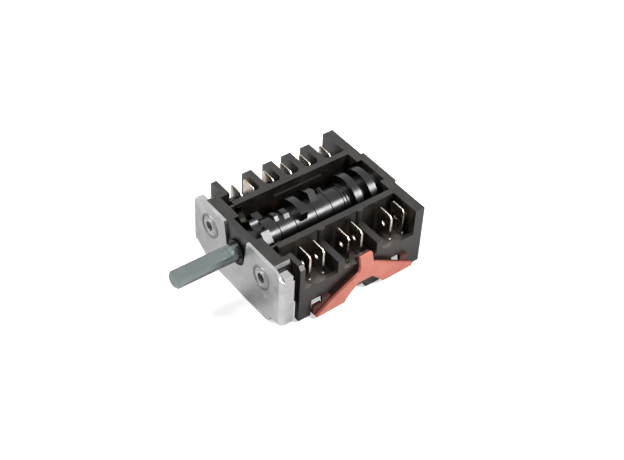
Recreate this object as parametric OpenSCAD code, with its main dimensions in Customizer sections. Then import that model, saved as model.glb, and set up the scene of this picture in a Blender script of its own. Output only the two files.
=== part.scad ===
// Hotplate selector switch: a moulded body with an open channel, in which a cam
// drum on a steel shaft closes six pairs of contacts, one pair to each cam.
// The origin lies on the shaft's axis, at the front plate's front face.
// The shaft points to -Y, +X is right as seen from the front, and +Z is up.

/* [Shaft] */
// Diameter of the shaft
shaft_d = 6; // [5:0.1:6.4]
// Size of the shaft across its flat
shaft_flat = 4.6; // [4:0.1:5]
// How far the shaft stands out of the front plate
shaft_out = 22.6; // [12:0.1:40]
// Full round length of the shaft in front of the plate
shaft_round = 2; // [1.2:0.1:6]
// Chamfer on the shaft's tip
shaft_chamfer = 0.7; // [0.2:0.1:1]

/* [Front plate] */
// Outer face of the right flange, from the shaft's axis
plate_right = 24.4; // [23.8:0.1:26]
// Outer face of the left flange, from the shaft's axis
plate_left = 23.8; // [23.4:0.1:26]
// Thickness of the galvanised sheet
plate_t = 1; // [0.8:0.1:1.2]
// Top edge above the shaft's axis
plate_top = 8.1; // [7.6:0.1:9]
// Bottom edge below the shaft's axis
plate_drop = 16; // [15.6:0.1:18]
// Lower end of the flanges below the shaft's axis
flange_drop = 12.7; // [9:0.1:13.5]
// Depth of the flanges behind the plate's front face
flange_d = 4.7; // [4.2:0.1:5]
// Outer radius of the bends
bend_r = 1.6; // [1.3:0.1:2.4]
// Distance between the two fixing holes
fix_spacing = 28; // [26:0.1:30]
// Core diameter of the M4 fixing threads
fix_d = 3.4; // [3.2:0.1:4]
// Diameter of the pressed ring round each fixing hole
fix_ring_d = 8.6; // [7.6:0.1:10]
// Width of the shaft notch at the plate's top edge
notch_w = 12.4; // [11.4:0.1:13]

/* [Body moulding] */
// Width over the side walls
body_w = 47.5; // [46.8:0.1:52]
// Rim of the channel above the shaft's axis
rim_z = 7.5; // [7:0.1:8]
// Feet of the side walls below the shaft's axis
foot_drop = 15.2; // [14.8:0.1:15.9]
// Rear face of the body behind the plate's front face
body_l = 55.9; // [55.4:0.1:60]
// Thickness of the back wall
back_t = 3.6; // [3:0.1:4.4]
// How far the middle of the back wall stands proud
back_proud = 1; // [0.4:0.1:1.6]
// Clear width of the cam channel
channel_w = 21.3; // [19.6:0.1:22]
// Thickness of the channel's walls
wall_t = 2.2; // [1.8:0.1:2.6]
// Thickness of the side walls
side_t = 1.4; // [1.2:0.1:1.8]
// Upper edge of the side walls below the shaft's axis
side_drop = 2.4; // [1.6:0.1:3.4]
// Floor of the terminal bays below the shaft's axis
bay_drop = 4; // [3.6:0.1:5]
// Thickness of the bays' floor
bay_t = 1.4; // [1.2:0.1:2]
// Thickness of the wall at the front of the bays
frame_t = 1.8; // [1.4:0.1:2.2]
// Thickness of the fins between the bays
fin_t = 2.4; // [1.8:0.1:2.6]
// Top of the right fins above the shaft's axis
right_fin_z = 2.1; // [1:0.1:6]

/* [Front block] */
// Width of the block's top
block_w = 38.6; // [37.6:0.2:40]
// Depth of the block behind the plate
block_l = 6.3; // [6.1:0.1:6.6]
// Depth of the two pockets in the block's rear
pocket_depth = 5; // [3:0.5:8]

/* [Cam drum] */
// Diameter of the lobes
lobe_d = 17.2; // [15.6:0.1:17.4]
// Diameter of the drum between the lobes
drum_d = 11.8; // [11:0.1:12.2]
// Width of a lobe along the shaft
lobe_w = 2.7; // [2:0.1:3]
// Diameter over the corners of the detent star
star_d = 14.4; // [13.4:0.1:14.6]
// Diameter between the star's opposite notches
star_notch_d = 9.6; // [9:0.1:10.4]
// Running clearance of the bearings, on the radius
bearing_gap = 0.06; // [0.03:0.01:0.1]

/* [Terminals and contacts] */
// Width of the terminal blades
tab_w = 6.3; // [5.8:0.1:6.5]
// Thickness of the terminals' brass strip
tab_t = 0.8; // [0.5:0.1:1]
// Tip of the blades above the shaft's axis
tab_z = 6.2; // [4.6:0.1:7.2]
// Width of a contact spring
spring_w = 3; // [2.6:0.1:3.6]
// Thickness of a contact spring
spring_t = 0.4; // [0.3:0.05:0.5]
// Gap between a lobe and the pressed contact spring
lobe_gap = 0.1; // [0.05:0.01:0.15]

/* [Retaining clip] */
// Thickness of the clip's outer plate
clip_t = 1; // [0.8:0.1:1.4]
// Depth of the rim behind the plate
clip_rim = 1.2; // [0.8:0.1:1.6]
// Height of its finger tab above the shaft's axis
clip_tab_z = 1.9; // [1:0.1:4]

/* [Hidden] */
TRACKS = [1:6];
$fn = 64;

// Places along the shaft, from the plate's front face: the middle of each cam
// and the front face of the terminals that stand beside it
track_y = [12.1, 17.0, 23.2, 30.9, 43.5, 49.3];
right_y = [13.2, 18.4, 28.1, 33.2, 45.1, 50.3];
left_y = [12.6, 17.4, 25.0, 32.0, 39.7, 48.0];
// The fins between the bays, in their middle
right_fin_y = [23.2, 38.4];
left_fin_y = [20.1, 28.2, 35.7, 43.5];
// Lobes of each cam as [from, to] in degrees, seen from the front with 0 at +X
lobes = [[150, 205], [228, 237], [59, 150], [100, 134], [-28, 138], [-30, 136]];
// How far each lobe lies behind the middle of its contact
lobe_shift = [0, 0, 0, -0.9, 0, 0];
// Further lobes that work no contact, as [middle, width, from, to, radius]
stops = [[15.1, 1.5, 90, 114, 6.8], [18.6, 2, 84, 108, 6.8], [34.7, 1.6, 124, 146, 7.3]];

eps = 0.01;
fit = 0.1;
block_y = plate_t;
frame_y = block_y + block_l;
back_y = body_l - back_t;
half_w = body_w / 2;
inner = channel_w / 2;
outer = inner + wall_t;
lobe_r = lobe_d / 2;
drum_r = drum_d / 2;
hub_r = 4.6;
journal_r = 4;
bearing_l = 2.6;
recess_r = lobe_r + 0.9;
recess_d = 1.8;
star_y = 7.2;
star_w = 3;

// The contact stack under the drum, from the lobes down
nose_h = 0.9;
spring_top = -lobe_r - lobe_gap - nose_h;
spring_bottom = spring_top - spring_t;
button_h = 0.9;
button_r = 1.4;
fixed_h = 0.7;
press_gap = 0.03;
button_x = inner - 3.1;
right_foot_top = spring_bottom - button_h - press_gap - fixed_h;
left_foot_top = spring_bottom;
floor_z = right_foot_top - tab_t;
cover_t = 1.8;
hinge_x = -outer + 0.3;
spring_seat = -star_d / 2 - 1.4;
foot_w = 3.5;
shoulder_w = 0.4;
shoulder_h = 0.8;
bay_mid = (outer + half_w - side_t) / 2;
tab_x = bay_mid - tab_w / 2 - 0.4;
left_tab_x = bay_mid - tab_w / 2 + 0.2;

// A length along Y that starts at y, with its outline drawn in X and Z
module along_y(y, h) {
    translate([0, y + h, 0]) rotate([90, 0, 0]) linear_extrude(height = h) children();
}

// A bar along Y with outline in X and Z that is the same on both sides
module both_sides() {
    children();
    mirror([1, 0, 0]) children();
}

// A length along X that starts at x, with its outline drawn in Y and Z
module along_x(x, h) {
    translate([x, 0, 0]) rotate([90, 0, 90]) linear_extrude(height = h) children();
}

// A round bar along the shaft's axis
module round_y(y, h, r) {
    translate([0, y, 0]) rotate([-90, 0, 0]) cylinder(h = h, r = r);
}

// A box given by its lowest and highest corners
module block(a, b) {
    translate(a) cube(b - a);
}

// Steel shaft with a flat on top and a chamfered tip
shaft_tail = 12;
module shaft() {
    color("lightslategray") difference() {
        union() {
            round_y(-shaft_out + shaft_chamfer, shaft_out - shaft_chamfer + shaft_tail, shaft_d / 2);
            translate([0, -shaft_out, 0]) rotate([-90, 0, 0])
                cylinder(h = shaft_chamfer, r1 = shaft_d / 2 - shaft_chamfer, r2 = shaft_d / 2);
        }
        block([-shaft_d, -shaft_out - 1, shaft_flat - shaft_d / 2], [shaft_d, -shaft_round, shaft_d]);
        round_groove();
    }
}

// Groove of the retaining ring
ring_y = 0.1;
ring_t = 0.7;
groove_r = shaft_d / 2 - 0.4;
module round_groove() {
    difference() {
        round_y(ring_y, ring_t + 0.04, shaft_d);
        round_y(ring_y - 1, ring_t + 2, groove_r);
    }
}

// Spring steel ring that keeps the shaft in the front block
ring_r = shaft_d / 2 + 1;
ring_eye = (groove_r + ring_r) / 2;
module retaining_ring() {
    color("silver") difference() {
        round_y(ring_y + 0.02, ring_t, ring_r);
        round_y(ring_y - 1, ring_t + 2, groove_r + 0.02);
        block([-1.2, ring_y - 1, -ring_r - 1], [1.2, ring_y + 2, 0]);
        for (a = [-62, -118]) translate([ring_eye * cos(a), ring_y - 1, ring_eye * sin(a)])
            rotate([-90, 0, 0]) cylinder(h = 3, r = 0.4);
    }
}

// Galvanised plate: a face with a shaft notch, two threaded holes and bent flanges
flat_right = plate_right - bend_r;
flat_left = plate_left - bend_r;
left_drop = -flange_drop + 1.1;
ear_z = rim_z - 0.7;
left_ear_z = ear_z - 2.5;
ear_step = 2.2;
ear_w = 3.2;
corner_w = 4;
left_corner_w = 5.7;
corner_slope = 0.7;
module plate_outline() {
    difference() {
        polygon([
            [-flat_left, left_drop], [-flat_left + 1, left_drop - 0.2], [-16.4, -plate_drop + 1.4],
            [-9.1, -plate_drop], [16.4, -plate_drop], [18.2, -plate_drop + 1],
            [19.2, -flange_drop - 0.1], [flat_right, -flange_drop], [flat_right, plate_top],
            [-flat_left, plate_top]
        ]);
        notch_outline();
    }
}

module notch_outline() {
    r = shaft_d / 2 + 1.8;
    circle(r = r);
    polygon([[-r, 0], [r, 0], [notch_w / 2, plate_top + 1], [-notch_w / 2, plate_top + 1]]);
}

module flange(x, z0, ear_z) {
    difference() {
        union() {
            intersection() {
                translate([x - bend_r, bend_r, z0]) cylinder(h = ear_z - z0, r = bend_r);
                block([x - bend_r, 0, z0], [x, bend_r, ear_z]);
            }
            block([x - bend_r, bend_r - eps, z0], [x, flange_d, ear_z - ear_step]);
            block([x - bend_r, bend_r - eps, z0], [x, flange_d - 0.6, ear_z]);
            block([x - ear_w, plate_t + 0.2, ear_z - plate_t], [x - bend_r + eps, flange_d - 0.6, ear_z]);
        }
        translate([x - bend_r, bend_r, z0 - 1]) cylinder(h = ear_z - plate_t - z0 + 1, r = bend_r - plate_t);
        block([x - bend_r - 1, bend_r, z0 - 1], [x - plate_t, flange_d + 1, ear_z - plate_t]);
    }
}

// The face's upper corner, cut off at a slant in front of the ear
module corner_cut(x, w) {
    along_y(-1, plate_t + 1.2) polygon([
        [x - w, plate_top], [x + 1, plate_top - corner_slope * (w + 1)],
        [x + 1, plate_top + 1], [x - w, plate_top + 1]
    ]);
}

module front_plate() {
    color("gainsboro") difference() {
        union() {
            along_y(0, plate_t) plate_outline();
            flange(plate_right, -flange_drop, ear_z);
            mirror([1, 0, 0]) flange(plate_left, left_drop, left_ear_z);
            both_sides() translate([fix_spacing / 2, 0, 0]) {
                round_y(-0.25, 0.5, fix_ring_d / 2);
                round_y(plate_t - eps, 1.4, fix_d / 2 + 0.8);
            }
        }
        corner_cut(plate_right, corner_w);
        mirror([1, 0, 0]) corner_cut(plate_left, left_corner_w);
        both_sides() translate([fix_spacing / 2, 0, 0]) {
            round_y(-1, 6, fix_d / 2);
            difference() {
                round_y(-0.3, 0.3, fix_ring_d / 2 - 0.7);
                round_y(-0.4, 0.5, fix_d / 2 + 0.9);
            }
        }
        both_sides() translate([16, -0.1, -6]) round_y(0, 0.4, 0.45);
    }
}

// Moulded block behind the plate: front bearing of the shaft, and two pockets
pocket_in = inner + 0.7;
pocket_out = 16.4;
shoulder = plate_right - plate_t - fit;
left_shoulder = plate_left - plate_t - fit;
module block_outline() {
    polygon([
        [-left_shoulder, -11.6], [-left_shoulder + 3, -foot_drop + 1.2], [shoulder - 3, -foot_drop + 1.2],
        [shoulder, -12], [shoulder, ear_z - plate_t - fit], [block_w / 2, ear_z - plate_t - fit],
        [block_w / 2, rim_z - 1], [block_w / 2 - 1, rim_z], [-block_w / 2 + 1.6, rim_z],
        [-block_w / 2, rim_z - 1.6], [-block_w / 2, left_ear_z - plate_t - fit],
        [-left_shoulder, left_ear_z - plate_t - fit]
    ]);
}

module front_block() {
    z0 = -foot_drop + 1.2;
    color("dimgray") difference() {
        along_y(block_y, block_l) block_outline();
        both_sides() block([block_w / 2, flange_d, -foot_drop], [shoulder + 1, frame_y + 1, rim_z]);
        both_sides() block([pocket_in, frame_y - 1.7, rim_z - pocket_depth], [pocket_out, frame_y + 1, rim_z + 1]);
        block([flat_right - fit, 0, -foot_drop], [shoulder + 1, bend_r, rim_z]);
        block([-left_shoulder - 1, 0, -foot_drop], [-flat_left + fit, bend_r, rim_z]);
        block([-inner, frame_y - 1.7, spring_seat], [inner, frame_y + 1, rim_z + 1]);
        round_y(block_y + bearing_l, block_l, recess_r);
        round_y(0, 10, shaft_d / 2 + bearing_gap);
        both_sides() translate([fix_spacing / 2, 0, 0]) round_y(0, 4.6, fix_d / 2 + 1);
        both_sides() block([9.6, block_y + 3, z0 - 1], [shoulder - 2, frame_y + 1, -9]);
    }
}

// Body moulding: channel, bays with fins, side walls, front frame and back wall
module side_wall() {
    y0 = frame_y;
    z0 = -foot_drop;
    z1 = -side_drop;
    mid = -foot_drop + 2.5;
    along_x(half_w - side_t, side_t) polygon([
        [y0, z0], [window_y[0] - 0.1, z0], [window_y[0], window_z[0]], [window_y[1], window_z[0]],
        [window_y[1], mid], [lug_y[0], mid], [lug_y[0] + 0.8, z0], [lug_y[1] - 0.8, z0],
        [lug_y[1], mid], [window_y[2], mid], [window_y[2], window_z[1]], [window_y[3], window_z[1]],
        [window_y[3], z0], [body_l - eps, z0], [body_l - eps, z1], [y0, z1]
    ]);
}

window_y = [12.1, 18.7, 43.9, 49.9];
window_z = [-8.7, -7.9];
lug_y = [33.2, 40.2];
end_over = 0.6;
proud_x = 8.3;

module right_fin(y) {
    block([outer - eps, y - fin_t / 2, -bay_drop - eps], [half_w - eps, y + fin_t / 2, right_fin_z]);
    translate([outer - 0.6, y, -bay_drop]) cylinder(h = bay_drop + rim_z, r = 1.5);
}

module left_fin(y) {
    cut = 1.7;
    r = 1.6;
    along_y(y - fin_t / 2, fin_t) polygon([
        [-outer + eps, -bay_drop - eps], [-outer + eps, rim_z], [-half_w + cut, rim_z],
        [-half_w + eps, rim_z - cut], [-half_w + eps, -bay_drop - eps]
    ]);
    difference() {
        block([-outer - r, y - fin_t / 2 - r, -bay_drop - eps], [-outer + eps, y + fin_t / 2 + r, rim_z]);
        for (e = [-1, 1])
            translate([-outer - r, y + e * (fin_t / 2 + r), -bay_drop - 1]) cylinder(h = 20, r = r);
    }
}

module frame_wall() {
    c = 1.2;
    along_y(frame_y, frame_t) difference() {
        polygon([
            [-half_w, -foot_drop], [half_w, -foot_drop], [half_w, rim_z - c], [half_w - c, rim_z],
            [-half_w, rim_z], [-half_w - end_over, rim_z - end_over], [-half_w - end_over, -side_drop],
            [-half_w, -side_drop - end_over]
        ]);
        translate([-inner, spring_seat]) square([channel_w, rim_z - spring_seat + 1]);
        both_sides() translate([pocket_in, rim_z - pocket_depth])
            square([pocket_out - pocket_in, pocket_depth + 1]);
        both_sides() translate([outer + 1, -foot_drop - 1]) square([half_w - outer - 3, 8]);
    }
}

module back_wall() {
    along_y(back_y, back_t) polygon([
        [-half_w, -foot_drop], [half_w, -foot_drop], [half_w, rim_z], [-half_w, rim_z],
        [-half_w - end_over, rim_z - end_over], [-half_w - end_over, -side_drop],
        [-half_w, -side_drop - end_over]
    ]);
    block([-proud_x, body_l - eps, -foot_drop + 2], [proud_x, body_l + back_proud, rim_z]);
}

module channel_walls() {
    both_sides() block([inner, frame_y + eps, floor_z], [outer, back_y + eps, rim_z]);
    both_sides() block([outer - eps, frame_y + frame_t - eps, -bay_drop - bay_t],
                       [half_w - eps, back_y + eps, -bay_drop]);
    block([-inner - eps, 22.2, 3.4], [-inner + 0.35, 41.2, 4]);
}

// Slots of one terminal: through the bay floor, and through the channel's wall
module terminal_slots(x, y, y_track, foot_top, lift) {
    span = foot_span(y, y_track);
    block([x - fit, y - fit, -bay_drop - bay_t - 1], [x + tab_w + fit, y + tab_t + fit, -bay_drop + fit]);
    block([inner - 1, span[0] - fit, floor_z - 1], [outer + 1, span[1] + fit, foot_top + lift]);
}

module body_moulding() {
    color([0.16, 0.15, 0.14]) difference() {
        union() {
            both_sides() side_wall();
            channel_walls();
            frame_wall();
            back_wall();
            for (y = right_fin_y) right_fin(y);
            for (y = left_fin_y) left_fin(y);
        }
        round_y(back_y - 1, recess_d + 1, recess_r);
        round_y(back_y, 10, journal_r + bearing_gap);
        for (i = TRACKS) {
            terminal_slots(tab_x, right_y[i - 1], track_y[i - 1], right_foot_top, fit);
            mirror([1, 0, 0])
                terminal_slots(left_tab_x, left_y[i - 1], track_y[i - 1], left_foot_top, spring_t + 0.9);
        }
        both_sides() translate([6, body_l + back_proud, -9.5]) rotate([90, 0, 0]) cylinder(h = 1.4, r = 1.6);
    }
}

// Cover under the channel, which holds the terminals' feet in their slots
module contact_cover() {
    y0 = frame_y + frame_t + fit;
    y1 = back_y - fit;
    color([0.2, 0.19, 0.18]) difference() {
        union() {
            block([-outer, y0, floor_z - cover_t], [outer, y1, floor_z]);
            for (i = TRACKS) {
                s = foot_span(left_y[i - 1], track_y[i - 1]);
                block([-outer + fit, s[0], floor_z - eps], [-inner + 2.4, s[1], left_foot_top - tab_t]);
            }
        }
        for (y = [21.2, 36.2]) block([-3, y, floor_z - cover_t - 1], [3, y + 6, floor_z - cover_t + 0.8]);
    }
}

// Turned and moulded drum with the detent star, six cams and both journals
module cam_drum() {
    front = block_y + bearing_l + fit;
    color([0.07, 0.07, 0.08]) difference() {
        union() {
            round_y(front, star_y - front + eps, hub_r);
            star();
            round_y(star_y + star_w - eps, back_y + recess_d - fit - star_y - star_w, drum_r);
            round_y(back_y + recess_d - fit - eps, body_l + back_proud - back_y - recess_d + fit, journal_r);
            for (i = [0:5]) cam(track_y[i] + lobe_shift[i], lobe_w, lobes[i], lobe_r);
            for (b = stops) cam(b[0], b[1], [b[2], b[3]], b[4]);
            round_y(collar_y, collar_w, drum_r + collar_h);
        }
        for (y = groove_y) drum_groove(y);
        round_y(0, shaft_tail + 0.3, shaft_d / 2 + 0.02);
    }
}

// A low collar in front of the fifth cam, and the mould's rings between the cams
collar_y = 40.4;
collar_w = 1;
collar_h = 0.4;
groove_y = [14.3, 20.2, 28.2, 34.4, 39.2];
groove_w = 0.4;
groove_depth = 0.3;
module drum_groove(y) {
    difference() {
        round_y(y - groove_w / 2, groove_w, lobe_r + 1);
        round_y(y - 1, 2, drum_r - groove_depth);
    }
}

// Square star with cut corners and a round notch on each side for the detent spring
module star() {
    c = star_d / 2;
    side = c - star_cut;
    intersection() {
        difference() {
            round_y(star_y, star_w, c);
            for (a = [0:90:270]) rotate([0, a, 0]) translate([star_notch_d / 2 + notch_r, 0, 0])
                round_y(star_y - 1, star_w + 2, notch_r);
        }
        rotate([0, 45, 0]) block([-side, 0, -side], [side, 20, side]);
    }
}
notch_r = 3.4;
star_cut = 0.3;

// One cam: a sector of the lobe's circle with slanted flanks
module cam(y, w, span, r) {
    a0 = span[0];
    a1 = span[1];
    ramp = 16;
    far = r * 3;
    wedge = concat(
        [drum_r * 0.96 * [cos(a0 - ramp), sin(a0 - ramp)], r * [cos(a0), sin(a0)]],
        [for (k = [0:1:6]) let (a = a0 + (a1 - a0) * k / 6) far * [cos(a), sin(a)]],
        [r * [cos(a1), sin(a1)], drum_r * 0.96 * [cos(a1 + ramp), sin(a1 + ramp)], [0, 0]]
    );
    intersection() {
        round_y(y - w / 2, w, r);
        along_y(y - w / 2 - 1, w + 2) polygon(wedge);
    }
}

// Bent leaf that hugs the star from below and snaps into its notches
module detent_spring() {
    t = 0.5;
    w = 2.2;
    y = star_y + (star_w - w) / 2;
    x_nose = star_notch_d / 2 + 0.08;
    x_leg = inner - 0.5;
    z_low = spring_seat;
    z_top = rim_z - 0.5;
    color("darkkhaki") along_y(y, w) {
        polygon([
            [-x_leg, z_low], [x_leg, z_low], [x_leg, -3.6], [x_nose + t, -0.3], [x_nose + t, 0.3],
            [x_leg, 3.6], [x_leg, z_top], [x_leg - t, z_top], [x_leg - t, 3.8],
            [x_nose, 0.4], [x_nose, -0.4], [x_leg - t, -3.8], [x_leg - t, z_low + t],
            [-x_leg + t, z_low + t], [-x_leg + t, -3.8], [-x_nose, -0.4], [-x_nose, 0.4],
            [-x_leg + t, 3.8], [-x_leg + t, z_top], [-x_leg, z_top], [-x_leg, 3.6],
            [-x_nose - t, 0.3], [-x_nose - t, -0.3], [-x_leg, -3.6]
        ]);
    }
}

// The stretch along Y that a terminal's foot covers: its tab and its cam's middle
function foot_span(y, y_track) =
    [min(y, y_track - foot_w / 2), max(y + tab_t, y_track + foot_w / 2)];

// One stamped terminal: a blade that stands up, and a foot bent flat under the drum
module terminal(x, y, y_track, foot_top, foot_in, c_in, c_out) {
    span = foot_span(y, y_track);
    foot_low = foot_top - tab_t;
    x1 = x + tab_w;
    taper = 0.22;
    difference() {
        union() {
            intersection() {
                along_y(y, tab_t) polygon([
                    [x, foot_low], [x1 - 1.4, foot_low], [x1 - 1.4, -bay_drop - bay_t - 0.4],
                    [x1, -bay_drop - bay_t - fit], [x1, -bay_drop], [x1 + shoulder_w, -bay_drop],
                    [x1 + shoulder_w, -bay_drop + shoulder_h], [x1, -bay_drop + shoulder_h + shoulder_w],
                    [x1, tab_z - c_out], [x1 - c_out, tab_z], [x + c_in, tab_z], [x, tab_z - c_in],
                    [x, -bay_drop + shoulder_h + shoulder_w], [x - shoulder_w, -bay_drop + shoulder_h],
                    [x - shoulder_w, -bay_drop], [x, -bay_drop]
                ]);
                translate([0, y, 0]) rotate([90, 0, 90]) linear_extrude(height = 40) polygon([
                    [0, foot_low - 1], [tab_t, foot_low - 1], [tab_t, tab_z - 1.1],
                    [tab_t - taper, tab_z], [taper, tab_z], [0, tab_z - 1.1]
                ]);
            }
            block([foot_in, span[0], foot_low], [x1 - 1.4, span[1], foot_top]);
        }
        translate([x + tab_w / 2, y - 1, tab_z - 4.8]) rotate([-90, 0, 0]) cylinder(h = 3, r = 0.85);
    }
}

module terminal_right(i) {
    color([0.76, 0.72, 0.7])
        terminal(tab_x, right_y[i - 1], track_y[i - 1], right_foot_top, inner - 4.9, 0.7, 1);
}

module terminal_left(i) {
    color([0.76, 0.72, 0.7]) mirror([1, 0, 0])
        terminal(left_tab_x, left_y[i - 1], track_y[i - 1], left_foot_top, inner - 2, 1.1, 0.4);
}

// Silver button on a right foot
module fixed_contact(i) {
    color("white") translate([button_x, track_y[i - 1], right_foot_top]) cylinder(h = fixed_h, r = button_r);
}

// Bronze leaf from the left foot to above the fixed contact, with a nose under the cam
module contact_spring(i) {
    nose = 1.3;
    tip = button_x + button_r + 0.2;
    color("peru") along_y(track_y[i - 1] - spring_w / 2, spring_w) polygon([
        [hinge_x, spring_bottom], [tip, spring_bottom], [tip, spring_top], [nose + 0.9, spring_top],
        [nose * 0.5, spring_top + nose_h], [-nose * 0.5, spring_top + nose_h], [-nose - 0.9, spring_top],
        [hinge_x, spring_top]
    ]);
}

// Silver button under the leaf's tip
module moving_contact(i) {
    color("white") translate([button_x, track_y[i - 1], spring_bottom - button_h])
        cylinder(h = button_h, r = button_r);
}

// Moulded clip on the right side wall: a finger tab and two wings, with a rim behind
// them that lies against the wall, and hooks through the wall's windows
clip_outline = [
    [29, clip_tab_z - 0.3], [33.5, clip_tab_z], [34.5, -2.9], [51.5, -12.5], [50.9, -13.5],
    [39.2, -13.7], [37.4, -11.7], [34.5, -8.9], [29.2, -8.9], [28, -9.6], [26.3, -11.2],
    [24.3, -13.3], [24, -14.5], [12.9, -15], [12.6, -14.6], [19.2, -10], [29.1, -4.8], [29.5, -2.5],
    [29, 0]
];
clip_end = [[12.9, -14.9], [11.9, -13.6], [12.2, -10.6], [15.2, -10.4], [15.4, -13]];
rim_step = 0.5;
clip_web = 1.2;
hook_l = 3.2;
hook_in = 0.6;
module side_clip() {
    x0 = half_w + 0.02;
    x1 = half_w + clip_rim;
    hook_x = half_w - side_t - hook_in;
    color("salmon") {
        along_x(x1, clip_t) polygon(clip_outline);
        intersection() {
            along_x(x0, clip_rim) polygon(clip_outline);
            translate([0, 0, -rim_step]) along_x(x0, clip_rim) polygon(clip_outline);
        }
        along_x(x0, clip_rim) polygon(clip_end);
        block([hook_x, 30.2, -side_drop + 0.02], [x1 + eps, 33.4, -side_drop + clip_web]);
        block([hook_x, 30.2, -side_drop - 0.8], [hook_x + hook_in - 0.05, 33.4, -side_drop + 0.1]);
        for (k = [0, 1]) clip_hook(hook_x, x1 + eps, window_y[2 * k + 1] - 0.2, window_z[k] - fit);
    }
}

// A hook through one window, slanted on its front side
module clip_hook(x0, x1, y1, z1) {
    translate([0, 0, z1 - 3.6]) linear_extrude(height = 3.6)
        polygon([[x1, y1 - hook_l], [x1, y1], [x0, y1], [x0, y1 - hook_l * 0.4]]);
}

body_moulding();
front_block();
contact_cover();
front_plate();
shaft();
retaining_ring();
cam_drum();
detent_spring();
side_clip();
for (i = TRACKS) {
    terminal_right(i);
    terminal_left(i);
    fixed_contact(i);
    contact_spring(i);
    moving_contact(i);
}
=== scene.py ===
import bpy
import math
from mathutils import Matrix, Vector


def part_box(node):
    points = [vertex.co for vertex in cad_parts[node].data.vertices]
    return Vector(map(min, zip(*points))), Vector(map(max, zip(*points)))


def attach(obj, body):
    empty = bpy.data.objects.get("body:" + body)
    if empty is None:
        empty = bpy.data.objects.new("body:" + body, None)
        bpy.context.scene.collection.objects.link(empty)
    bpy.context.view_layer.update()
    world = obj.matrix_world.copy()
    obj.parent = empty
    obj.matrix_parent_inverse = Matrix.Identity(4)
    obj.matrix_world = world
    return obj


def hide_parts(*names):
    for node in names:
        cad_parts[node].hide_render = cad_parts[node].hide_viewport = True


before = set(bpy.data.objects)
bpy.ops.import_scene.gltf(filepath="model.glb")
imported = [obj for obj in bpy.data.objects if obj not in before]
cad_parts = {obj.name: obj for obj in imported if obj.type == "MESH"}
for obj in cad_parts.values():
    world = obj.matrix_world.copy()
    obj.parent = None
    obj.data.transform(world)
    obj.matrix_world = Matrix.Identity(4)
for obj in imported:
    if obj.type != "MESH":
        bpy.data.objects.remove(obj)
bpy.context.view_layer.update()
bpy.ops.object.select_all(action="DESELECT")


# Camera: a long lens from the front right and above, as the picture was taken.
# Its angles, its place and its lens come from a fit of the part's corners in a
# picture 624 pixels wide and 460 high.
turn, tip, roll = math.radians(50.755), math.radians(42.664), math.radians(3.241)
origin_seen = Vector((-0.023724, 0.006571, 0.378025))
focal_px, picture_px, sensor_mm = 1225.915, 624, 36
forward = Vector((
    -math.sin(turn) * math.cos(tip),
    math.cos(turn) * math.cos(tip),
    -math.sin(tip),
))
right = Vector((math.cos(turn), math.sin(turn), 0))
down = forward.cross(right)
rows = (
    math.cos(roll) * right - math.sin(roll) * down,
    math.sin(roll) * right + math.cos(roll) * down,
    forward,
)
place = -sum((row * s for row, s in zip(rows, origin_seen)), Vector())
lens = bpy.data.cameras.new("camera")
lens.lens = focal_px / picture_px * sensor_mm
lens.sensor_width = sensor_mm
lens.clip_start = 0.01
lens.clip_end = 10
camera = bpy.data.objects.new("camera", lens)
bpy.context.scene.collection.objects.link(camera)
camera.matrix_world = Matrix((
    (rows[0].x, -rows[1].x, -rows[2].x, place.x),
    (rows[0].y, -rows[1].y, -rows[2].y, place.y),
    (rows[0].z, -rows[1].z, -rows[2].z, place.z),
    (0, 0, 0, 1),
))
bpy.context.scene.camera = camera


# Floor and light: a white table under a white sky, with a large soft lamp over
# the left shoulder of the camera and a second one from the right. The table
# touches the front plate's lower edge and the feet at the body's rear.
table_size, table_centre = 2, (0, 0.028, 0)
table_z = -0.0156
# The feet stand this much higher than the plate's edge, and this far behind it.
feet_rise, feet_back = 0.0008, 0.0555
table_glow = 0.55
sky_light, sky_white = 0.14, 1.0
lamp_aim = (0, 0.02, 0)


def linear(code):
    # An sRGB hex colour as the linear one that Blender's sockets take.
    parts = [int(code[i:i + 2], 16) / 255 for i in (1, 3, 5)]
    return [c / 12.92 if c <= 0.04045 else ((c + 0.055) / 1.055) ** 2.4 for c in parts] + [1]


def add(tree, kind, settings=None, **links):
    # Adds one node. A setting is a property or a socket's value, and a link
    # names its socket, as i0 or i1 where several sockets have the same name.
    node = tree.nodes.new("ShaderNode" + kind)
    for key, value in (settings or {}).items():
        if isinstance(key, str) and hasattr(node, key):
            setattr(node, key, value)
        else:
            node.inputs[key].default_value = value
    for key, source in links.items():
        by_number = key[0] == "i" and key[1:].isdigit()
        socket = node.inputs[int(key[1:]) if by_number else key.replace("_", " ")]
        tree.links.new(source, socket)
    return node


def start_material(name):
    material = bpy.data.materials.new(name)
    material.use_nodes = True
    material.node_tree.nodes.clear()
    return material, material.node_tree


bpy.ops.mesh.primitive_plane_add(size=table_size, location=table_centre)
floor = bpy.context.object
floor.name = "floor"
slope = math.atan2(feet_rise, feet_back)
floor.data.transform(Matrix.Rotation(slope, 4, "X"))
floor.data.transform(Matrix.Translation((0, 0, table_z)))

# White paper: matt, and a little brighter to the camera than its light makes
# it, so that it looks white and still shows the part's shadow.
paper, tree = start_material("white_paper")
shade = add(tree, "BsdfDiffuse", {"Color": linear("#f4f4f4")})
seen = add(tree, "LightPath")
glow = add(tree, "Emission", {"Color": linear("#ffffff"), "Strength": table_glow})
dark = add(tree, "Emission", {"Strength": 0.0})
choice = add(
    tree, "MixShader",
    i0=seen.outputs["Is Camera Ray"], i1=dark.outputs[0], i2=glow.outputs[0],
)
both = add(tree, "AddShader", i0=shade.outputs[0], i1=choice.outputs[0])
add(tree, "OutputMaterial", Surface=both.outputs[0])
floor.data.materials.append(paper)

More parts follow.
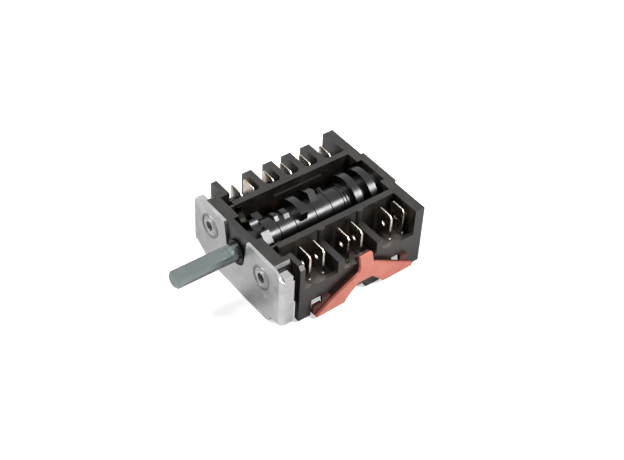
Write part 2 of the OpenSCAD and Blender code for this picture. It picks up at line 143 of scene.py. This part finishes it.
# White sky: the camera and all reflections see it white, and the object gets
# only a weak even light from it.
sky = bpy.data.worlds.new("sky")
bpy.context.scene.world = sky
sky.use_nodes = True
sky.node_tree.nodes.clear()
tree = sky.node_tree
seen = add(tree, "LightPath")
plain = add(tree, "Background", {"Color": linear("#ffffff"), "Strength": sky_light})
white = add(tree, "Background", {"Color": linear("#ffffff"), "Strength": sky_white})
bright = add(
    tree, "Math", {"operation": "MAXIMUM"},
    i0=seen.outputs["Is Camera Ray"], i1=seen.outputs["Is Glossy Ray"],
)
mixed = add(
    tree, "MixShader",
    i0=bright.outputs[0], i1=plain.outputs[0], i2=white.outputs[0],
)
add(tree, "OutputWorld", Surface=mixed.outputs[0])


def soft_lamp(name, spot, size, power):
    lamp = bpy.data.lights.new(name, "AREA")
    lamp.shape = "DISK"
    lamp.size = size
    lamp.energy = power
    holder = bpy.data.objects.new(name, lamp)
    bpy.context.scene.collection.objects.link(holder)
    holder.location = spot
    beam = Vector(lamp_aim) - Vector(spot)
    holder.rotation_euler = beam.to_track_quat("-Z", "Y").to_euler()


soft_lamp("key_lamp", (-0.25, -0.30, 0.6), size=0.35, power=4.0)
soft_lamp("fill_lamp", (0.38, 0.33, 0.42), size=0.24, power=3.7)
bpy.context.scene.view_settings.view_transform = "Standard"


# Body moulding: one black thermoset piece with the cam channel, the bays with
# their fins, the side walls and the back wall. It is compression moulded, so
# its edges are slightly round and its faces dull, with a fine mineral grain.
weld = 0.000002
flat_within = math.radians(0.5)
smooth_within = math.radians(35)
# Nearly all the values of a noise texture lie between these two.
noise_low, noise_high = 0.3, 0.7


def rounded(node, edge, angle=25):
    # A copy of a CAD node, with its edges rounded to a width of `edge` where two
    # faces meet at more than `angle` degrees.
    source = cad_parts[node]
    piece = source.copy()
    piece.data = source.data.copy()
    piece.parent = None
    for key in list(piece.keys()):
        del piece[key]
    piece.name = node + "_skin"
    bpy.context.scene.collection.objects.link(piece)
    bpy.ops.object.select_all(action="DESELECT")
    bpy.context.view_layer.objects.active = piece
    piece.select_set(True)
    bpy.ops.object.mode_set(mode="EDIT")
    bpy.ops.mesh.select_all(action="SELECT")
    bpy.ops.mesh.remove_doubles(threshold=weld)
    bpy.ops.mesh.dissolve_limited(angle_limit=flat_within)
    bpy.ops.object.mode_set(mode="OBJECT")
    bevel = piece.modifiers.new("edge", "BEVEL")
    bevel.width = edge
    bevel.segments = 2
    bevel.limit_method = "ANGLE"
    bevel.angle_limit = math.radians(angle)
    bevel.use_clamp_overlap = True
    bpy.ops.object.modifier_apply(modifier="edge")
    bpy.ops.object.shade_smooth_by_angle(angle=smooth_within)
    even = piece.modifiers.new("even", "WEIGHTED_NORMAL")
    even.keep_sharp = True
    bpy.ops.object.modifier_apply(modifier="even")
    return piece


def dress(piece, material, body, slot, *nodes):
    # Gives a piece its material and its body, and hides the nodes it stands for.
    piece.data.materials.clear()
    piece.data.materials.append(material)
    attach(piece, body)
    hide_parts(*nodes)
    bpy.ops.object.select_all(action="DESELECT")


def moulded_thermoset():
    # Black phenolic moulding: grey brown under light, with cloudy flow marks some
    # 6 mm wide and a dry dull sheen. Its pale filler grains are too fine to show,
    # so they are drawn 0.6 mm wide, as coarse as they need to show.
    clouds_per_metre, grains_per_metre = 160, 1700
    grain_share, grain_shift = 1.1, -0.3
    material, tree = start_material("black_thermoset")
    where = add(tree, "TexCoord").outputs["Object"]
    cloud = add(
        tree, "TexNoise", {"Scale": clouds_per_metre, "Detail": 4, "Roughness": 0.6},
        Vector=where,
    )
    grain = add(
        tree, "TexNoise", {"Scale": grains_per_metre, "Detail": 3, "Roughness": 0.6},
        Vector=where,
    )
    speckle = add(
        tree, "Math", {"operation": "MULTIPLY_ADD", 1: grain_share, 2: grain_shift},
        i0=grain.outputs["Fac"],
    )
    total = add(tree, "Math", {"operation": "ADD"}, i0=speckle.outputs[0], i1=cloud.outputs["Fac"])
    tone = add(tree, "ValToRGB", Fac=total.outputs[0])
    tone.color_ramp.elements[0].position = 0.62
    tone.color_ramp.elements[0].color = linear("#040302")
    tone.color_ramp.elements[1].position = 0.98
    tone.color_ramp.elements[1].color = linear("#28231d")
    rough = add(
        tree, "MapRange",
        {"From Min": noise_low, "From Max": noise_high, "To Min": 0.32, "To Max": 0.46},
        Value=cloud.outputs["Fac"],
    )
    bump = add(tree, "Bump", {"Strength": 0.55, "Distance": 0.00009}, Height=grain.outputs["Fac"])
    shader = add(
        tree, "BsdfPrincipled", {"IOR": 1.6},
        Base_Color=tone.outputs["Color"], Roughness=rough.outputs[0], Normal=bump.outputs[0],
    )
    add(tree, "OutputMaterial", Surface=shader.outputs[0])
    return material


black_thermoset = moulded_thermoset()
body = rounded("body_moulding", edge=0.00018)
dress(body, black_thermoset, "base", "body_black", "body_moulding")


# Front block: the black moulded piece behind the front plate, which carries
# the shaft's front bearing and covers the drum's star. Made like the body.
front_block = rounded("front_block", edge=0.00015)
dress(front_block, black_thermoset, "base", "body_black", "front_block")


# Cover under the channel: a flat strip, moulded like the body, that holds the
# terminals' feet in their slots and closes the contact chamber from below.
cover = rounded("contact_cover", edge=0.00012)
dress(cover, black_thermoset, "base", "body_black", "contact_cover")


# Front plate: stamped from galvanised sheet and bent back at both sides, with a
# notch for the shaft, and two threaded holes that have a pressed ring round them.
def galvanised():
    # Hot dip galvanised steel: zinc crystals 2.4 mm wide, each a little lighter
    # or darker, under rolling scratches 0.1 mm wide that streak the sheen. Painted
    # shade darkens a band at the outer edge of the pressed ring round each hole.
    crystals_per_metre, clouds_per_metre = 420, 300
    scratches_per_metre = (300, 300, 9000)
    crystal_share = 0.35
    hole = (0.014, 0, 0)
    # Painted shade: the dark band round each hole fades out between these radii.
    shade_band_outside, shade_band_inside = (0.0039, 0.0046), (0.0038, 0.0032)
    material, tree = start_material("galvanised_steel")
    where = add(tree, "TexCoord").outputs["Object"]
    crystal = add(
        tree, "TexVoronoi", {"Scale": crystals_per_metre, "Randomness": 1.0},
        Vector=where,
    )
    value = add(tree, "SeparateColor", Color=crystal.outputs["Color"])
    cloud = add(
        tree, "TexNoise", {"Scale": clouds_per_metre, "Detail": 5, "Roughness": 0.65},
        Vector=where,
    )
    stretch = add(tree, "Mapping", {"Scale": scratches_per_metre}, Vector=where)
    scratch = add(
        tree, "TexNoise", {"Scale": 1.0, "Detail": 3, "Roughness": 0.7},
        Vector=stretch.outputs[0],
    )
    mottle = add(
        tree, "Math", {"operation": "MULTIPLY_ADD", 1: crystal_share},
        i0=value.outputs[0], i2=cloud.outputs["Fac"],
    )
    tone = add(tree, "ValToRGB", Fac=mottle.outputs[0])
    tone.color_ramp.elements[0].position = 0.4
    tone.color_ramp.elements[0].color = linear("#b2b2b3")
    tone.color_ramp.elements[1].position = 0.95
    tone.color_ramp.elements[1].color = linear("#c4c4c4")
    axes = add(tree, "SeparateXYZ", Vector=where)
    side = add(tree, "Math", {"operation": "ABSOLUTE"}, i0=axes.outputs["X"])
    spot = add(tree, "CombineXYZ", X=side.outputs[0], Z=axes.outputs["Z"])
    reach = add(tree, "VectorMath", {"operation": "DISTANCE", 1: hole}, i0=spot.outputs[0])
    off = add(
        tree, "MapRange", {"From Min": shade_band_outside[0], "From Max": shade_band_outside[1]},
        Value=reach.outputs["Value"],
    )
    near = add(
        tree, "MapRange", {"From Min": shade_band_inside[0], "From Max": shade_band_inside[1]},
        Value=reach.outputs["Value"],
    )
    unshaded = add(tree, "Math", {"operation": "MAXIMUM"}, i0=off.outputs[0], i1=near.outputs[0])
    # Painted shade: the band's grey is mixed in round each hole, where the mask is low.
    ring_shaded = add(
        tree, "MixRGB", {"Color1": linear("#77787a")},
        Fac=unshaded.outputs[0], Color2=tone.outputs["Color"],
    )
    rough = add(
        tree, "MapRange",
        {"From Min": 0.35, "From Max": 0.9, "To Min": 0.26, "To Max": 0.42},
        Value=mottle.outputs[0],
    )
    bump = add(tree, "Bump", {"Strength": 0.15, "Distance": 0.00004}, Height=scratch.outputs["Fac"])
    shader = add(
        tree, "BsdfPrincipled", {"Metallic": 1.0},
        Base_Color=ring_shaded.outputs["Color"], Roughness=rough.outputs[0], Normal=bump.outputs[0],
    )
    add(tree, "OutputMaterial", Surface=shader.outputs[0])
    return material


front_plate = rounded("front_plate", edge=0.00012, angle=40)
dress(front_plate, galvanised(), "base", "zinc_sheet", "front_plate")


# Shaft: a round steel bar with a flat milled along it and a zinc coat. It turns
# in the front block and carries the drum.
def worked_metal(name, low, high, lines_per_metre):
    # Drawn, rolled or stamped metal: satin, with paler and darker patches 11 mm
    # wide, and fine lines along the way it was worked, drawn as coarse as they
    # need to show.
    patches_per_metre = 90
    line_share = 0.5
    material, tree = start_material(name)
    where = add(tree, "TexCoord").outputs["Object"]
    stretch = add(tree, "Mapping", {"Scale": lines_per_metre}, Vector=where)
    line = add(
        tree, "TexNoise", {"Scale": 1.0, "Detail": 3, "Roughness": 0.6},
        Vector=stretch.outputs[0],
    )
    patch = add(tree, "TexNoise", {"Scale": patches_per_metre, "Detail": 2}, Vector=where)
    total = add(
        tree, "Math", {"operation": "MULTIPLY_ADD", 1: line_share},
        i0=line.outputs["Fac"], i2=patch.outputs["Fac"],
    )
    tone = add(tree, "ValToRGB", Fac=total.outputs[0])
    tone.color_ramp.elements[0].position = 0.5
    tone.color_ramp.elements[0].color = linear(low)
    tone.color_ramp.elements[1].position = 1.0
    tone.color_ramp.elements[1].color = linear(high)
    rough = add(
        tree, "MapRange",
        {"From Min": noise_low, "From Max": noise_high, "To Min": 0.2, "To Max": 0.3},
        Value=line.outputs["Fac"],
    )
    bump = add(tree, "Bump", {"Strength": 0.06, "Distance": 0.00003}, Height=line.outputs["Fac"])
    shader = add(
        tree, "BsdfPrincipled", {"Metallic": 1.0},
        Base_Color=tone.outputs["Color"], Roughness=rough.outputs[0], Normal=bump.outputs[0],
    )
    add(tree, "OutputMaterial", Surface=shader.outputs[0])
    return material


# Zinc plate on drawn steel: bluish grey, with soft lines along the shaft.
zinc_plate = worked_metal("zinc_plated_shaft", "#7b8383", "#868e8d", (1500, 60, 1500))
shaft = rounded("shaft", edge=0.00008, angle=40)
dress(shaft, zinc_plate, "rotor", "zinc_shaft", "shaft")


# Retaining ring and detent spring: stamped from bare spring steel. The ring is
# snapped into the shaft's groove, and the bent spring lies in the star's notches.
# Hardened spring steel: nearly black, with lines from the rolls.
spring_steel = worked_metal("spring_steel", "#141312", "#2b2926", (3000, 300, 300))
ring = rounded("retaining_ring", edge=0.00006, angle=40)
dress(ring, spring_steel, "rotor", "spring_steel", "retaining_ring")
detent = rounded("detent_spring", edge=0.00005, angle=60)
dress(detent, spring_steel, "base", "spring_steel", "detent_spring")


# Cam drum: moulded in one piece from a glossy black plastic, with six cams and
# a star for the detent spring. Its rear end turns in the body's back wall.
def glossy_black():
    # Black polyamide from a polished mould: nearly smooth, with faint waves some
    # 4 mm wide.
    waves_per_metre = 260
    material, tree = start_material("glossy_black_polyamide")
    where = add(tree, "TexCoord").outputs["Object"]
    wave = add(tree, "TexNoise", {"Scale": waves_per_metre, "Detail": 3}, Vector=where)
    tone = add(tree, "ValToRGB", Fac=wave.outputs["Fac"])
    tone.color_ramp.elements[0].color = linear("#030303")
    tone.color_ramp.elements[1].color = linear("#080707")
    rough = add(
        tree, "MapRange",
        {"From Min": noise_low, "From Max": noise_high, "To Min": 0.24, "To Max": 0.31},
        Value=wave.outputs["Fac"],
    )
    bump = add(tree, "Bump", {"Strength": 0.1, "Distance": 0.0001}, Height=wave.outputs["Fac"])
    shader = add(
        tree, "BsdfPrincipled", {"IOR": 1.53},
        Base_Color=tone.outputs["Color"], Roughness=rough.outputs[0], Normal=bump.outputs[0],
    )
    add(tree, "OutputMaterial", Surface=shader.outputs[0])
    return material


drum = rounded("cam_drum", edge=0.00016)
dress(drum, glossy_black(), "rotor", "gloss_black", "cam_drum")


# Terminals: blades of brass strip, 0.8 mm thick and tin plated, stamped with
# cut corners and a locking hole, and bent flat under the drum. Each cam has one
# on either side.
cams = range(1, 7)


def tinned_brass():
    # Tin plate on brass: pale satin metal, a little warm where the tin is thin,
    # in patches 2.4 mm wide, under rolling lines 0.2 mm wide.
    patches_per_metre = 420
    lines_per_metre = (700, 700, 5000)
    material, tree = start_material("tinned_brass")
    where = add(tree, "TexCoord").outputs["Object"]
    patch = add(
        tree, "TexNoise", {"Scale": patches_per_metre, "Detail": 4, "Roughness": 0.6},
        Vector=where,
    )
    stretch = add(tree, "Mapping", {"Scale": lines_per_metre}, Vector=where)
    line = add(tree, "TexNoise", {"Scale": 1.0, "Detail": 2}, Vector=stretch.outputs[0])
    tone = add(tree, "ValToRGB", Fac=patch.outputs["Fac"])
    tone.color_ramp.elements[0].position = 0.3
    tone.color_ramp.elements[0].color = linear("#b9a58f")
    tone.color_ramp.elements[1].position = 0.62
    tone.color_ramp.elements[1].color = linear("#dcd6cf")
    rough = add(
        tree, "MapRange",
        {"From Min": noise_low, "From Max": noise_high, "To Min": 0.13, "To Max": 0.24},
        Value=line.outputs["Fac"],
    )
    bump = add(tree, "Bump", {"Strength": 0.15, "Distance": 0.00003}, Height=line.outputs["Fac"])
    shader = add(
        tree, "BsdfPrincipled", {"Metallic": 1.0},
        Base_Color=tone.outputs["Color"], Roughness=rough.outputs[0], Normal=bump.outputs[0],
    )
    add(tree, "OutputMaterial", Surface=shader.outputs[0])
    return material


tin = tinned_brass()
for side in ("right", "left"):
    for i in cams:
        blade = rounded(f"terminal_{side}_{i}", edge=0.0001, angle=40)
        dress(blade, tin, "base", "tinned_brass", f"terminal_{side}_{i}")


# Contacts: bronze leaves with a silver button at the tip, over a second silver
# button on each right foot.
# Rolled bronze: reddish, with lines from the rolls. Silver: pale, with an even
# grain of about 1 mm.
bronze = worked_metal("rolled_bronze", "#9b6a40", "#c08c5c", (300, 4000, 4000))
silver = worked_metal("silver_facing", "#c9c9c4", "#e6e6e2", (900, 900, 900))
for i in cams:
    leaf = rounded(f"contact_spring_{i}", edge=0.00006, angle=20)
    dress(leaf, bronze, f"contact_{i}", "bronze_strip", f"contact_spring_{i}")
    buttons = ((f"moving_contact_{i}", f"contact_{i}"), (f"fixed_contact_{i}", "base"))
    for node, body_name in buttons:
        button = rounded(node, edge=0.00015, angle=40)
        dress(button, silver, body_name, "silver", node)


# Side clip: moulded in a salmon coloured plastic, snapped over the right side
# wall, with a finger tab in the middle and two wings that spring outwards.
clip_plate = 0.001
# Painted shade: faces of the clip inward of this x, behind its outer plate, are painted a deep red.
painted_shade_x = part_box("side_clip")[1][0] - clip_plate
painted_shade_fade = (0.00004, 0.0001)


def salmon_plastic():
    # Filled polyester: salmon, a little cloudy where it flowed in the mould, with
    # a soft sheen that a grain 0.24 mm wide breaks up. Painted shade makes the faces
    # behind the plate a deep red, as little light gets in there.
    clouds_per_metre, grains_per_metre = 130, 4200
    material, tree = start_material("salmon_polyester")
    where = add(tree, "TexCoord").outputs["Object"]
    cloud = add(
        tree, "TexNoise", {"Scale": clouds_per_metre, "Detail": 4, "Roughness": 0.6},
        Vector=where,
    )
    grain = add(tree, "TexNoise", {"Scale": grains_per_metre, "Detail": 2}, Vector=where)
    tone = add(tree, "ValToRGB", Fac=cloud.outputs["Fac"])
    tone.color_ramp.elements[0].position = 0.3
    tone.color_ramp.elements[0].color = linear("#c26a59")
    tone.color_ramp.elements[1].position = 0.7
    tone.color_ramp.elements[1].color = linear("#d27f6d")
    depth = add(tree, "SeparateXYZ", Vector=where)
    # Painted shade: a mask by depth in x that turns the faces behind the plate deep red.
    painted_shade_mask = add(
        tree, "MapRange", {"From Min": painted_shade_x + painted_shade_fade[0], "From Max": painted_shade_x + painted_shade_fade[1]},
        Value=depth.outputs["X"],
    )
    shaded_salmon = add(
        tree, "MixRGB", {"Color1": linear("#3f120b")},
        Fac=painted_shade_mask.outputs[0], Color2=tone.outputs["Color"],
    )
    rough = add(
        tree, "MapRange",
        {"From Min": noise_low, "From Max": noise_high, "To Min": 0.40, "To Max": 0.55},
        Value=cloud.outputs["Fac"],
    )
    bump = add(tree, "Bump", {"Strength": 0.2, "Distance": 0.00004}, Height=grain.outputs["Fac"])
    shader = add(
        tree, "BsdfPrincipled", {"IOR": 1.57},
        Base_Color=shaded_salmon.outputs["Color"], Roughness=rough.outputs[0], Normal=bump.outputs[0],
    )
    add(tree, "OutputMaterial", Surface=shader.outputs[0])
    return material


clip = rounded("side_clip", edge=0.0002)
dress(clip, salmon_plastic(), "base", "salmon_plastic", "side_clip")
